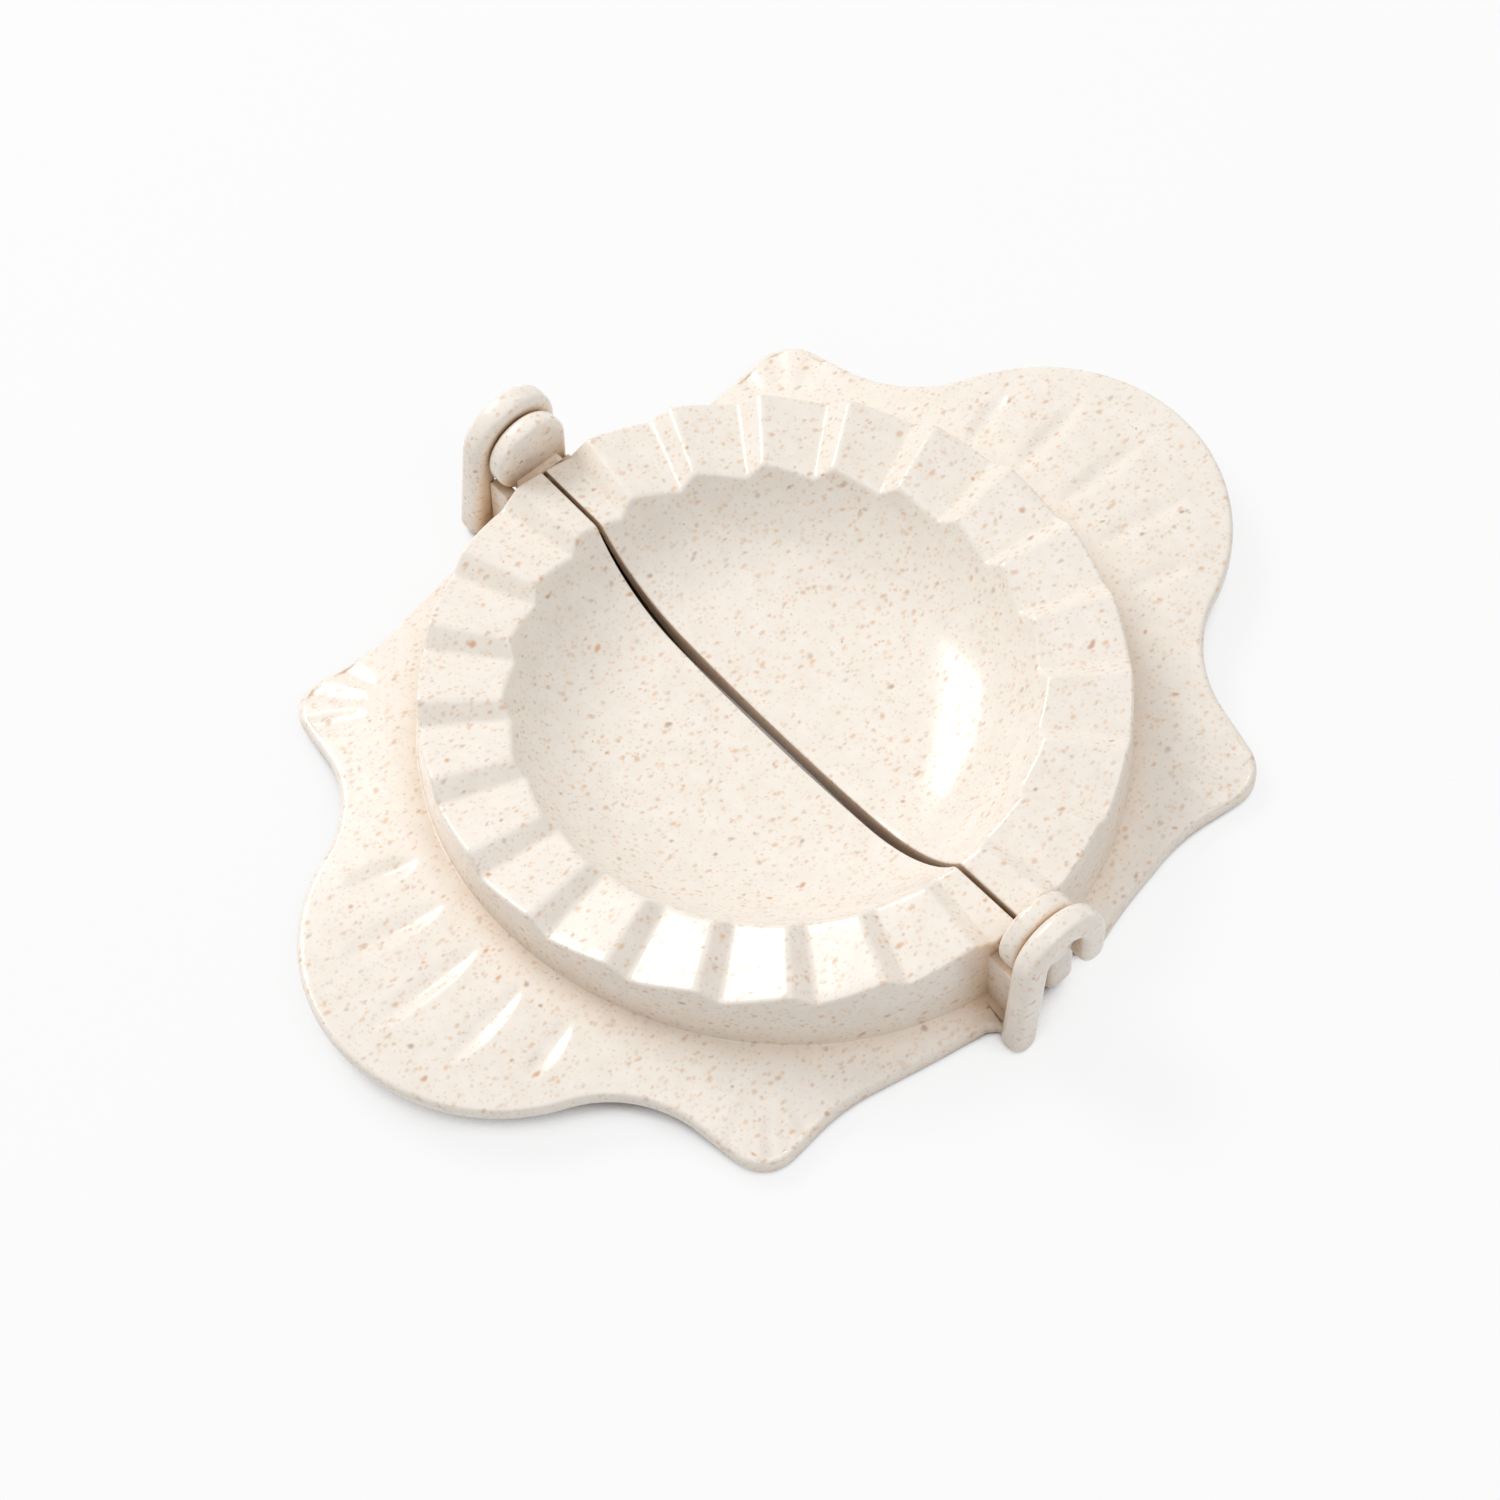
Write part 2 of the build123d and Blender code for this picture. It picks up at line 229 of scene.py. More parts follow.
    # the painted crease shade is multiplied into the flecked colour here
    crease_shaded_colour = nodes.new("ShaderNodeMix")
    crease_shaded_colour.data_type = "RGBA"
    crease_shaded_colour.blend_type = "MULTIPLY"
    crease_shaded_colour.inputs["Factor"].default_value = 1.0
    link(depth.outputs["AO"], painted_crease_shade.inputs["Fac"])
    link(colour, crease_shaded_colour.inputs["A"])
    link(painted_crease_shade.outputs["Color"], crease_shaded_colour.inputs["B"])
    link(crease_shaded_colour.outputs["Result"], shader.inputs["Base Color"])

    ripple = nodes.new("ShaderNodeTexNoise")
    ripple.inputs["Scale"].default_value = 1 / (1.1 * mm)
    ripple.inputs["Detail"].default_value = 3.0
    gloss = nodes.new("ShaderNodeMapRange")
    gloss.inputs["To Min"].default_value = 0.13
    gloss.inputs["To Max"].default_value = 0.23
    bump = nodes.new("ShaderNodeBump")
    bump.inputs["Strength"].default_value = 0.12
    bump.inputs["Distance"].default_value = 0.05 * mm
    link(place.outputs["Object"], ripple.inputs["Vector"])
    link(ripple.outputs["Fac"], gloss.inputs["Value"])
    link(gloss.outputs["Result"], shader.inputs["Roughness"])
    link(ripple.outputs["Fac"], bump.inputs["Height"])
    link(bump.outputs["Normal"], shader.inputs["Normal"])
    shader.inputs["IOR"].default_value = 1.49
    return material


plastic = straw_plastic("wheat_straw_plastic")
halves = {"front": -1, "rear": 1}
ends = {"left": -1, "right": 1}
row_count = 90
column_count = 120

# the rounding along a parting face: how far in from the face, how far below the surface
parting_steps = soft_edge(parting_round, (0, 30, 60, 90))

# rows run from the parting face to the bowl's far side: the soft edge, then the dish
dish_rows = [(step_in, None, settle) for step_in, settle in parting_steps]
dish_rows += [(0.0, sin(row / row_count * pi / 2), 0.0) for row in range(1, row_count + 1)]
for half, side in halves.items():
    loops = []
    for step_in, share, settle in dish_rows:
        start = parting(bowl_top) + (step_in if share is None else parting_round)
        loop = []
        surfaces = (
            (dish_height, dish_reach(settle, bowl_top), 1),
            (underside_height, underside_reach, -1),
        )
        for height, reach, direction in surfaces:
            y_row = start if share is None else start + (reach - start) * share
            half_width = sqrt(max(reach * reach - y_row * y_row, 0.0))
            draft = (reach - y_row) / (reach - parting(bowl_top))
            for column in range(column_count + 1):
                x = direction * half_width * sin((column / column_count - 0.5) * pi)
                z = height(hypot(x, y_row), settle)
                loop.append((x, side * (y_row + (parting(z) - parting(bowl_top)) * draft), z))
        loops.append(loop)
    bowl = build_mesh(f"{half}_half_bowl", [loops], plastic)
    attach(bowl, f"{half}_half")
    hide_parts(f"{half}_bowl")

# ---- crimping rims ----
# Round the bowl runs a ring of saw teeth that meet tooth in gap when the press is
# folded and crimp the dough's edge. The ring stands on a drafted skirt, and a web
# reaches out from each end of it to carry the pivots.

rim_radius = 44.0
tooth_count = 24
tooth_rise = 0.95
facet_share = 0.72
crest_land = 0.5
crest_fall = 0.055
trough_fall = 0.015
skirt_foot_radius = 44.65
skirt_foot_level = 1.0
skirt_inner_radius = 42.2
skirt_foot_inner_radius = 42.8
skirt_foot_fillet = 0.2
wing_thickness = 1.8
wing_bow_radius = 236.5
wing_reach = 48.8
tooth_soft = 0.55            # degrees over which a tooth's edges are rounded
rim_outer_round = 0.55
rim_inner_round = 0.6
skirt_seat_depth = 0.3       # how far the skirt's foot goes into the wing
hollow_bend_level = 9.0      # the skirt's inside flares to its foot below this height
hollow_bend_lean = 0.3       # how much wider than at the top it is there,
hollow_side_lean = 0.06      # and where the rounding up to the roof begins
hollow_round = 0.8
hollow_roof_radius = 38.0    # a place between the skirt and the bowl's wall
rim_settled = 0.5            # how far in from a parting face the last extra row stands
web_round = 0.3
web_root = 43.3
web_foot = 1.4               # inside the wing's thickness
webs = {"front": (3.2, 5.0, 48.8, 10.9), "rear": (0.94, 5.4, 45.5, 11.1)}  # near, far, reach, top

pitch = 360 / tooth_count
facet = facet_share * pitch
strip_start = facet + crest_land


def crest_level(r):
    return rim_level + tooth_rise - crest_fall * (rim_radius - r)


def trough_level(r):
    return rim_level - tooth_rise - trough_fall * (rim_radius - r)


def wing_top(x):
    """Height of the wings' bowed top over the table, which their ends just touch."""
    end_drop = wing_bow_radius - sqrt(wing_bow_radius**2 - wing_reach**2)
    return wing_thickness + end_drop - (wing_bow_radius - sqrt(wing_bow_radius**2 - x**2))


def tooth_height(angle):
    """How far up a tooth the rim is at an angle: 0 in a trough, 1 on a crest."""
    total = 0.0
    for weight, lean in ((1, -1.0), (2, -0.5), (2, 0.0), (2, 0.5), (1, 1.0)):
        phase = (angle + lean * tooth_soft + facet / 2) % pitch
        if phase < facet:
            height = phase / facet
        elif phase < strip_start:
            height = 1.0
        else:
            height = (pitch - phase) / (pitch - strip_start)
        total += weight * height / 8
    return total


def between_points(start, end, steps):
    """The points that divide a straight run into equal steps, without its ends."""
    shares = [step / steps for step in range(1, steps)]
    return [tuple(p + (q - p) * share for p, q in zip(start, end)) for share in shares]


def soften(before, corner, after, steps):
    """Points that round a corner from the point before it to the point after it."""
    points = []
    for step in range(steps + 1):
        t = step / steps
        a, b, c = (1 - t) ** 2, 2 * t * (1 - t), t * t
        points.append(tuple(a * p + b * q + c * s for p, q, s in zip(before, corner, after)))
    return points


def rim_section(angle, settle):
    """The rim's outline in section at an angle, as radius and height."""
    lift = tooth_height(angle)

    def top(r):
        return trough_level(r) + (crest_level(r) - trough_level(r)) * lift - settle

    def skirt(z):
        crest = crest_level(rim_radius)
        drop = (crest - z) / (crest - skirt_foot_level)
        return rim_radius + (skirt_foot_radius - rim_radius) * drop - settle

    inner_r = side_centre_r + side_radius
    for _ in range(12):
        inner_r = dish_reach(settle, top(inner_r))
    wall_radius = side_radius + settle
    wall_low = asin((bowl_top - side_centre_z) / wall_radius)
    wall_high = asin((top(inner_r) - side_centre_z) / wall_radius) - rim_inner_round / wall_radius
    section = []
    for step in range(9):
        a = wall_low + (wall_high - wall_low) * step / 8
        section.append((side_centre_r + wall_radius * cos(a), side_centre_z + wall_radius * sin(a)))
    shoulder = inner_r + rim_inner_round
    section += soften(section.pop(), (inner_r, top(inner_r)), (shoulder, top(shoulder)), 6)
    outer_r = skirt(top(rim_radius))
    brow = outer_r - rim_outer_round
    section += between_points((shoulder, top(shoulder)), (brow, top(brow)), 8)
    below = top(outer_r) - rim_outer_round
    section += soften((brow, top(brow)), (outer_r, top(outer_r)), (skirt(below), below), 6)
    seat = wing_top(skirt_foot_radius * cos(radians(angle)))
    fillet_top = seat + skirt_foot_fillet
    section += between_points((skirt(below), below), (skirt(fillet_top), fillet_top), 4)
    flare = skirt(seat) + skirt_foot_fillet
    section += soften((skirt(fillet_top), fillet_top), (skirt(seat), seat), (flare, seat), 5)
    section += [
        (flare, seat - skirt_seat_depth),
        (skirt_foot_inner_radius, seat - skirt_seat_depth),
        (skirt_inner_radius + hollow_bend_lean, hollow_bend_level),
    ]
    hollow_side = (skirt_inner_radius + hollow_side_lean, bowl_top - hollow_round)
    hollow_roof = (skirt_inner_radius - hollow_round, bowl_top)
    section += soften(hollow_side, (skirt_inner_radius, bowl_top), hollow_roof, 4)
    section += [(hollow_roof_radius, bowl_top), (underside_reach, bowl_top)]
    return section


def rounded_box(low, high, round_by, steps=4):
    """A box with all its upright edges and its top edges rounded, as loops up its height."""
    corners = [
        (high[0], high[1], 0),
        (low[0], high[1], 90),
        (low[0], low[1], 180),
        (high[0], low[1], 270),
    ]
    levels = [(low[2], 0.0)]
    levels += [(high[2] - down, shy) for shy, down in soft_edge(round_by, (0, 30, 60, 90))]
    loops = []
    for z, shrink in levels:
        swing = round_by - shrink
        loop = []
        for cx, cy, start in corners:
            mid_x = cx - round_by if cx == high[0] else cx + round_by
            mid_y = cy - round_by if cy == high[1] else cy + round_by
            for step in range(steps + 1):
                a = radians(start + 90 * step / steps)
                loop.append((mid_x + swing * cos(a), mid_y + swing * sin(a), z))
        loops.append(loop)
    return loops


tooth_stations = (-1.0, -0.5, 0.0, 0.5, 1.0, 1.7)
row_angles = []
for tooth in range(tooth_count):
    trough = tooth * pitch - facet / 2
    for station in tooth_stations:
        row_angles.append(trough + station * tooth_soft)
    row_angles += [trough + facet * share for share in (0.25, 0.5, 0.75)]
    crest = trough + facet
    row_angles += [crest - station * tooth_soft for station in (1.7, 1.0, 0.5, 0.0)]
    row_angles += [crest + crest_land + station * tooth_soft for station in (0.0, 0.5, 1.0, 1.7)]
    row_angles += [trough + pitch - 1.7 * tooth_soft]
row_angles = sorted((angle + 180) % 360 - 180 for angle in row_angles)

clear_angle = 3.0            # no other row stands this near to a parting face
lean_radius = 38.0           # where a parting row's angle is taken

for half, side in halves.items():
    loops = []
    for end in (1, -1):
        end_loops = []
        for step_in, settle in parting_steps + [(rim_settled, 0.0)]:
            lean = degrees((parting(rim_level) + step_in) / lean_radius)
            angle = side * lean if end > 0 else side * (180 - lean)
            loop = []
            for r, z in rim_section(angle, settle if step_in < parting_round else 0.0):
                y = parting(z) + step_in
                loop.append((end * sqrt(r * r - y * y), side * y, z))
            end_loops.append(loop)
        if end > 0:
            loops += end_loops
            rows = [a for a in row_angles if clear_angle < a * side < 180 - clear_angle]
            for angle in [side * clear_angle, *sorted(rows, key=abs), side * (180 - clear_angle)]:
                a = radians(angle)
                loops.append([(r * cos(a), r * sin(a), z) for r, z in rim_section(angle, 0.0)])
        else:
            loops += end_loops[::-1]
    solids = [loops]
    near, far, web_reach, web_top = webs[half]
    low_y, high_y = sorted((side * near, side * far))
    for end in ends.values():
        low_x, high_x = sorted((end * web_root, end * web_reach))
        web_low, web_high = (low_x, low_y, web_foot), (high_x, high_y, web_top)
        solids.append(rounded_box(web_low, web_high, web_round))
    rim = build_mesh(f"{half}_half_crimping_rim", solids, plastic)
    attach(rim, f"{half}_half")
    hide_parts(f"{half}_crimp_rim")

# ---- wings ----
# The scalloped plates at the foot of each half are its handles: a big round lobe in
# the middle, a small one near each pivot. They are bowed, so that the big lobes stand
# off the table, and fans of shallow flutes pressed into their tops stiffen the lobes.

lobe_centre = (0.0, 44.96)
lobe_radius = 24.5
lobe_end_angle = 21.4
valley_end = (34.0, 43.95)
corner_point = (45.4, 41.85)
corner_round = 5.1
side_waist = (43.75, 28.3)
side_waist_round = 25.0
side_bend = (46.1, 16.2)
side_bend_round = 60.0
hinge_ends = {
    "front": [(48.8, 2.0), (48.8, 6.7), (48.2, 6.9), (47.4, 8.0)],
    "rear": [(45.5, 2.0), (45.5, 6.6), (48.2, 9.2)],
}
hinge_corner_rounds = {"front": 0.3, "rear": 1.1}
wing_round = 0.7
wing_under_round = 0.25
outline_spacing = 0.35
wing_settled = 0.6           # how far in from a parting face the last extra row stands
top_steps = 56

flute_reach = 2.2
lobe_flute_start = 48.0
lobe_flutes = {-17.6: 58.2, -9.0: 62.6, 0.0: 65.8, 9.0: 62.6, 17.6: 58.2}
lobe_flute_depth = 0.5
corner_fan = (33.4, 31.4)
corner_flute_start = 5.5
corner_flute_end = 17.0
corner_flute_angles = (12.5, 36.5, 60.5)
corner_flute_depth = 0.3


def arc_points(centre, radius, start, end):
    """Points and outward normals along an arc, angles in degrees."""
    count = max(2, ceil(abs(radians(end - start)) * radius / outline_spacing))
    bulge = 1 if end > start else -1
    points = []
    for step in range(count + 1):
        a = radians(start + (end - start) * step / count)
        out_x, out_y = cos(a), sin(a)
        place = (centre[0] + radius * out_x, centre[1] + radius * out_y)
        points.append((*place, bulge * out_x, bulge * out_y))
    return points


def line_points(start, end):
    """Points and outward normals along a straight run."""
    run_x, run_y = end[0] - start[0], end[1] - start[1]
    length = hypot(run_x, run_y)
    count = max(2, ceil(length / outline_spacing))
    normal = (run_y / length, -run_x / length)
    return [
        (start[0] + run_x * s / count, start[1] + run_y * s / count, *normal)
        for s in range(count + 1)
    ]


def heading(centre, point):
    return degrees(atan2(point[1] - centre[1], point[0] - centre[0])) % 360


def rounded_corner(before, corner, after, radius):
    """Arc that rounds a corner between two straight runs."""
    into = (Vector(corner) - Vector(before)).normalized()
    out = (Vector(after) - Vector(corner)).normalized()
    turned = into.angle_signed(out) * -1
    setback = radius * tan(abs(turned) / 2)
    first = Vector(corner) - into * setback
    left = 1 if turned > 0 else -1
    centre = first + Vector((-into.y, into.x)) * radius * left
    start = heading(centre, first)
    return arc_points(centre, radius, start, start + degrees(turned))


def wing_outline(half):
    """The quarter outline from the pivot to the tip of the lobe, with outward normals."""
    hinge_end = hinge_ends[half]
    bends = [(*point, hinge_corner_rounds[half]) for point in hinge_end[1:]]
    bends += [
        (*side_bend, side_bend_round),
        (*side_waist, side_waist_round),
        (*corner_point, corner_round),
    ]
    stops = [hinge_end[0]] + [bend[:2] for bend in bends] + [valley_end]
    outline = [(*hinge_end[0], 1.0, 0.0)]
    for before, bend, after in zip(stops, bends, stops[2:]):
        arc = rounded_corner(before, bend[:2], after, bend[2])
        outline += line_points(outline[-1][:2], arc[0][:2])[1:-1] + arc
    outline += line_points(outline[-1][:2], valley_end)[1:]

    end_turn = radians(lobe_end_angle)
    outward = Vector((cos(end_turn), sin(end_turn)))
    lobe_end = Vector(lobe_centre) + outward * lobe_radius
    chord = Vector(valley_end) - lobe_end
    valley_radius = chord.dot(chord) / (2 * chord.dot(outward))
    valley = lobe_end + outward * valley_radius
    valley_turn = (heading(valley, valley_end) - 360, heading(valley, lobe_end) - 360)
    outline += arc_points(valley, valley_radius, *valley_turn)[1:]
    outline += arc_points(lobe_centre, lobe_radius, lobe_end_angle, 90.0)[1:]
    return outline


def flute_sink(x, y, flutes):
    """How far the flutes press the top down at a point: each is a soft spindle-shaped trough."""
    sink = 0.0
    for start_x, start_y, along_x, along_y, length, depth in flutes:
        along = ((x - start_x) * along_x + (y - start_y) * along_y) / length
        across = abs((x - start_x) * along_y - (y - start_y) * along_x)
        swell = 4 * along * (1 - along)
        if swell > 0 and across < flute_reach * sqrt(swell):
            sink += depth * swell * (1 + cos(pi * across / (flute_reach * sqrt(swell)))) / 2
    return sink


def wing_loop(tip, root, normal, settle, flutes):
    """Section of the plate from its root, inside the skirt, to its soft edge."""
    tip_x, tip_y = tip
    root_x, root_y = root
    normal_x, normal_y = normal
    loop = [(root_x, root_y, wing_top(root_x) - wing_thickness)]
    for up, shy in soft_edge(wing_under_round, (0, 45, 90)):
        x = tip_x - normal_x * shy
        loop.append((x, tip_y - normal_y * shy, wing_top(x) - wing_thickness + up))
    for shy, down in soft_edge(wing_round, (0, 22.5, 45, 67.5, 90)):
        x = tip_x - normal_x * shy
        loop.append((x, tip_y - normal_y * shy, wing_top(x) - settle - down))
    edge_x, edge_y = loop[-1][:2]
    for step in range(1, top_steps + 1):
        share = step / top_steps
        x = edge_x + (root_x - edge_x) * share
        y = edge_y + (root_y - edge_y) * share
        loop.append((x, y, wing_top(x) - settle - flute_sink(x, y, flutes)))
    return loop


for half, side in halves.items():
    flutes = []
    for angle, end_radius in lobe_flutes.items():
        out_x, out_y = sin(radians(angle)), side * cos(radians(angle))
        start = (lobe_flute_start * out_x, lobe_flute_start * out_y)
        flutes.append((*start, out_x, out_y, end_radius - lobe_flute_start, lobe_flute_depth))
    for end in ends.values():
        for angle in corner_flute_angles:
            out_x, out_y = end * cos(radians(angle)), side * sin(radians(angle))
            start_x = end * corner_fan[0] + out_x * corner_flute_start
            start_y = side * corner_fan[1] + out_y * corner_flute_start
            length = corner_flute_end - corner_flute_start
            flutes.append((start_x, start_y, out_x, out_y, length, corner_flute_depth))
    quarter = wing_outline(half)
    outline = quarter + [(-x, y, -nx, ny) for x, y, nx, ny in quarter[-2::-1]]
    reach = hinge_ends[half][0][0]
    parting_rows = {}
    for end in (1, -1):
        parting_rows[end] = []
        for step_in, settle in parting_steps + [(wing_settled, 0.0)]:
            y = parting(wing_thickness) + step_in
            root = (end * sqrt(skirt_foot_inner_radius**2 - y * y), side * y)
            settle = settle if step_in < parting_round else 0.0
            tip = (end * reach, side * y)
            parting_rows[end].append(wing_loop(tip, root, (end, 0.0), settle, []))
    loops = parting_rows[1]
    for x, y, nx, ny in outline:
        far = hypot(x, y)
        root = (skirt_foot_inner_radius * x / far, side * skirt_foot_inner_radius * y / far)
        loops.append(wing_loop((x, side * y), root, (nx, side * ny), 0.0, flutes))
    loops += parting_rows[-1][::-1]
    wing = build_mesh(f"{half}_half_wing", [loops], plastic)
    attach(wing, f"{half}_half")
    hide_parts(f"{half}_wing")

# ---- pivot hooks ----
# At each end the front half carries an open hook, a cane-shaped bar that stands up
# from the wing beside the ring. It springs over the other half's pin, so the press
# needs no screw or rivet. Its outer face is well rounded for the fingers.

hinge_level = 15.45
hook_inner_face = 48.8
hook_thickness = 3.55
hook_bar = 3.62
hook_centre_radius = 4.74
hook_tip_drop = 3.9
hook_lean = 5.0
hook_outer_round = 0.95
hook_inner_round = 1.3


def cane_outline(width):
    """The outline of the bar, of a half width, as Y and Z round the pivot's section."""
    tip_z = hinge_level - hook_tip_drop
    near, far = hook_centre_radius - width, hook_centre_radius + width
    side_y, side_z = -cos(radians(hook_lean)), sin(radians(hook_lean))
    foot_z = hook_bar / 2
    foot_y = (hook_centre_radius + (hinge_level - foot_z) * side_z) / side_y
    outline = []

    def arc(centre_y, centre_z, radius, start, end, steps):
        for step in range(steps + 1):
            a = radians(start + (end - start) * step / steps)
            outline.append((centre_y + radius * cos(a), centre_z + radius * sin(a)))

    def run(start, end):
        for step in range(1, 6):
            outline.append(tuple(p + (q - p) * step / 6 for p, q in zip(start, end)))

    arc(foot_y, foot_z, width, -hook_lean, -180 - hook_lean, 16)
    run(outline[-1], (far * side_y, hinge_level + far * side_z))
    arc(0, hinge_level, far, 180 - hook_lean, 0, 36)
    run((far, hinge_level), (far, tip_z))
    arc(hook_centre_radius, tip_z, width, 0, -180, 16)
    run((near, tip_z), (near, hinge_level))
    arc(0, hinge_level, near, 0, 180 - hook_lean, 36)
    run(outline[-1], outline[0])
    return outline


# how far out from the hook's inner face each loop stands, and how far it is drawn in
fine_turns = (0, 18, 36, 54, 72, 90)
hook_levels = soft_edge(hook_inner_round, fine_turns)
hook_levels += [
    (hook_thickness - down, shy) for shy, down in soft_edge(hook_outer_round, fine_turns)
]
for end_name, end in ends.items():
    loops = []
    for out, shrink in hook_levels:
        x = end * (hook_inner_face + out)
        loops.append([(x, y, z) for y, z in cane_outline(hook_bar / 2 - shrink)])
    hook = build_mesh(f"pivot_hook_{end_name}", [loops], plastic)
    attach(hook, "front_half")
    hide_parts(f"front_hook_{end_name}")

# ---- pivot discs ----
# A pebble-shaped disc on a lug stands at each end of the rear half's ring, joined to
# it by a small shelf. It keeps the hook's bar away from the teeth and gives the pin
# its root.

disc_radius = 5.4
disc_inner_face = 45.5
disc_outer_face = 48.6
disc_inner_round = 0.9
disc_outer_round = 1.1
lug_near = 0.94
lug_foot = 0.8
lug_corner_round = 1.3
lug_throat_round = 1.0
shelf_low = (44.3, -3.1, 11.2)
shelf_high = (46.4, 3.6, 12.8)
shelf_round = 0.25


def disc_outline(inset):
    """The outline of disc and lug, drawn in by inset, as Y and Z."""
    throat_y = lug_near - lug_throat_round
    throat_z = hinge_level - sqrt((disc_radius + lug_throat_round) ** 2 - throat_y**2)
    throat_turn = degrees(atan2(throat_z - hinge_level, throat_y)) + 360
    corner = lug_corner_round
    arcs = [
        (0.0, hinge_level, disc_radius - inset, 0.0, throat_turn, 60),
        (throat_y, throat_z, lug_throat_round + inset, throat_turn - 180, 0.0, 8),
        (lug_near + corner, lug_foot + corner, corner - inset, 180.0, 270.0, 8),
        (disc_radius - corner, lug_foot + corner, corner - inset, 270.0, 360.0, 8),
    ]
    outline = []
    for centre_y, centre_z, radius, start, end, steps in arcs:
        for step in range(steps + 1):
            a = radians(start + (end - start) * step / steps)
            outline.append((centre_y + radius * cos(a), centre_z + radius * sin(a)))
    return outline


disc_levels = [
    (disc_inner_face + shy, down) for shy, down in soft_edge(disc_inner_round, fine_turns)
]
disc_levels += [
    (disc_outer_face - down, shy) for shy, down in soft_edge(disc_outer_round, fine_turns)
]
for end_name, end in ends.items():
    loops = [[(end * out, y, z) for y, z in disc_outline(inset)] for out, inset in disc_levels]
    low_x, high_x = sorted((end * shelf_low[0], end * shelf_high[0]))
    shelf = rounded_box((low_x, *shelf_low[1:]), (high_x, *shelf_high[1:]), shelf_round)
    disc = build_mesh(f"pivot_disc_{end_name}", [loops, shelf], plastic)
    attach(disc, "rear_half")
    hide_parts(f"rear_pivot_disc_{end_name}")

# ---- pivot pins ----
# A stub pin grows from each disc and turns inside the hook. It is moulded with the
# disc, ends just short of the hook's outer face, and has a soft edge there.

pin_radius = 2.83
pin_end_face = 50.7
pin_round = 0.5
pin_root = 0.2               # how deep the pin starts inside the disc
round_steps = 72


def turned_loops(profile, end):
    """Loops of a part turned about the pivot axis, from distances out and radii."""
    loops = []
    for out, radius in profile:
        around = [2 * pi * s / round_steps for s in range(round_steps)]
        loops.append([(end * out, radius * cos(a), hinge_level + radius * sin(a)) for a in around])
    return loops


pin_profile = [(disc_outer_face - pin_root, pin_radius)]
for shy, down in soft_edge(pin_round, (0, 30, 60, 90)):
    pin_profile.append((pin_end_face - down, pin_radius - shy))
for end_name, end in ends.items():
    pin = build_mesh(f"pivot_pin_{end_name}", [turned_loops(pin_profile, end)], plastic)
    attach(pin, "rear_half")
    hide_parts(f"rear_pivot_pin_{end_name}")

# ---- studio ----
# The press lies on a white table in a pale room, under a big softbox on the left, whose
# mirror image is the gleam in the bowl, and a wide weak one overhead.

lamp_distance = 1.0
table_gap = 0.03             # keeps the table's face off the underside of the bowls

# the table looks white to the eye and in reflections, but neither under the press nor
# in the gap between its halves, where little light gets in: there its glow fades, and
# its colour is painted shade, a deep brown where the press covers it
bpy.ops.mesh.primitive_plane_add(size=6.0, location=(0, 0, -table_gap * mm))
table = bpy.context.object
table.name = "table"
white = bpy.data.materials.new("white_table")
white.use_nodes = True
nodes = white.node_tree.nodes
link = white.node_tree.links.new
nodes.clear()
matt = nodes.new("ShaderNodeBsdfDiffuse")
# painted shade: the table's colour runs from deep brown where the press covers it (low ambient
# occlusion) to pale grey in the open
under = nodes.new("ShaderNodeValToRGB")
under.color_ramp.elements[0].color = (0.10, 0.06, 0.03, 1.0)
under.color_ramp.elements[1].position = 0.36
under.color_ramp.elements[1].color = (0.8, 0.8, 0.8, 1.0)
glow = nodes.new("ShaderNodeEmission")
glow.inputs["Color"].default_value = (1.0, 1.0, 1.0, 1.0)
path = nodes.new("ShaderNodeLightPath")
seen = nodes.new("ShaderNodeMath")
seen.operation = "MAXIMUM"
open_sky = nodes.new("ShaderNodeAmbientOcclusion")
open_sky.samples = 8
open_sky.inputs["Distance"].default_value = 0.04
share = nodes.new("ShaderNodeMapRange")
share.inputs["From Min"].default_value = 0.26
share.inputs["From Max"].default_value = 0.42
share.inputs["To Max"].default_value = 0.84
glows = nodes.new("ShaderNodeMath")
glows.operation = "MULTIPLY"
mix = nodes.new("ShaderNodeMixShader")
result = nodes.new("ShaderNodeOutputMaterial")
link(path.outputs["Is Camera Ray"], seen.inputs[0])
link(path.outputs["Is Glossy Ray"], seen.inputs[1])
link(open_sky.outputs["AO"], share.inputs["Value"])
link(open_sky.outputs["AO"], under.inputs["Fac"])
link(under.outputs["Color"], matt.inputs["Color"])
link(seen.outputs[0], glows.inputs[0])
link(share.outputs["Result"], glows.inputs[1])
link(glows.outputs[0], mix.inputs["Fac"])
link(matt.outputs["BSDF"], mix.inputs[1])
link(glow.outputs["Emission"], mix.inputs[2])
link(mix.outputs["Shader"], result.inputs["Surface"])
table.data.materials.append(white)

# the room lights the press softly and is plain white behind it

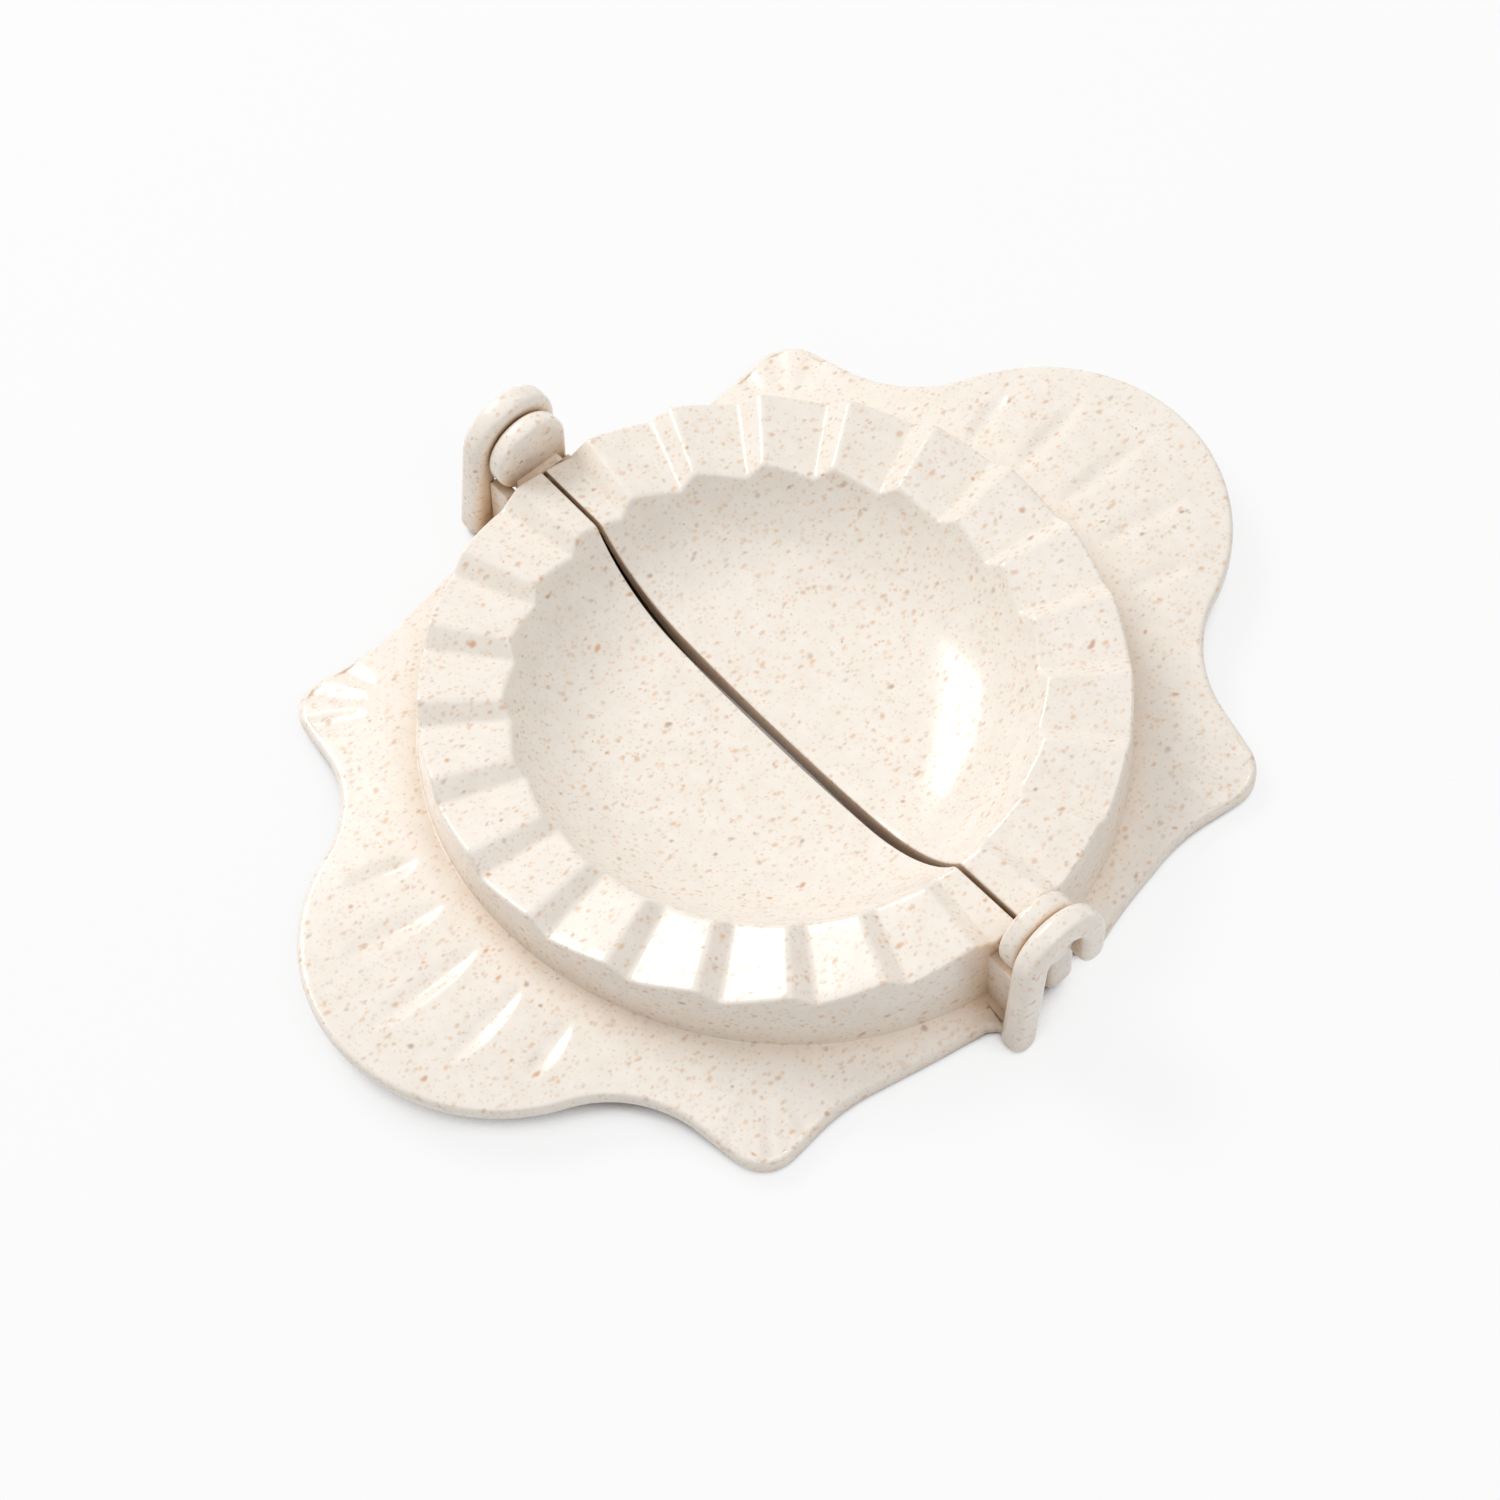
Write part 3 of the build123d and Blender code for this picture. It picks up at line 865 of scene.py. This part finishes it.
room = bpy.data.worlds.new("pale_room")
bpy.context.scene.world = room
room.use_nodes = True
nodes = room.node_tree.nodes
link = room.node_tree.links.new
nodes.clear()
lit = nodes.new("ShaderNodeBackground")
lit.inputs["Color"].default_value = (1.0, 1.0, 1.0, 1.0)
lit.inputs["Strength"].default_value = 0.46
shown = nodes.new("ShaderNodeBackground")
shown.inputs["Color"].default_value = (1.0, 1.0, 1.0, 1.0)
shown.inputs["Strength"].default_value = 1.0
path = nodes.new("ShaderNodeLightPath")
mix = nodes.new("ShaderNodeMixShader")
result = nodes.new("ShaderNodeOutputWorld")
link(path.outputs["Is Camera Ray"], mix.inputs["Fac"])
link(lit.outputs["Background"], mix.inputs[1])
link(shown.outputs["Background"], mix.inputs[2])
link(mix.outputs["Shader"], result.inputs["Surface"])


def softbox(name, direction, width, height, brightness):
    """A rectangular lamp that faces the press, its brightness as seen in a mirror."""
    lamp = bpy.data.lights.new(name, "AREA")
    lamp.shape = "RECTANGLE"
    lamp.size = width
    lamp.size_y = height
    lamp.energy = brightness * pi * width * height
    holder = bpy.data.objects.new(name, lamp)
    back = Vector(direction).normalized()
    holder.location = back * lamp_distance
    holder.rotation_euler = back.to_track_quat("Z", "Y").to_euler()
    bpy.context.scene.collection.objects.link(holder)


softbox("main_softbox", (-0.72, -0.08, 0.69), 0.58, 0.38, 7.6)
softbox("top_softbox", (0.36, 0.08, 0.93), 0.9, 0.9, 1.15)

# ---- camera ----
# A long lens looks down on the press over the right end of the front half. It is rolled
# by about a degree and set a little aside, which puts the press off the frame's middle.

camera_azimuth = radians(49.39)
camera_elevation = radians(58.352)
camera_distance = 0.67045
camera_roll = radians(1.153)
camera_lens = 130.98
aim = Vector((0, 0, rim_level * mm))
aside = (3.23 * mm, 7.348 * mm)

right = Vector((cos(camera_azimuth), sin(camera_azimuth), 0))
back = Vector(
    (
        sin(camera_azimuth) * cos(camera_elevation),
        -cos(camera_azimuth) * cos(camera_elevation),
        sin(camera_elevation),
    )
)
up = back.cross(right)
lens = bpy.data.cameras.new("camera")
lens.lens = camera_lens
lens.sensor_width = 36.0
camera = bpy.data.objects.new("camera", lens)
rolled_right = right * cos(camera_roll) - up * sin(camera_roll)
rolled_up = right * sin(camera_roll) + up * cos(camera_roll)
turn_matrix = Matrix((rolled_right, rolled_up, back)).transposed()
camera.location = aim + back * camera_distance - right * aside[0] - up * aside[1]
camera.rotation_euler = turn_matrix.to_euler()
bpy.context.scene.collection.objects.link(camera)
bpy.context.scene.camera = camera
bpy.context.scene.view_settings.view_transform = "Standard"
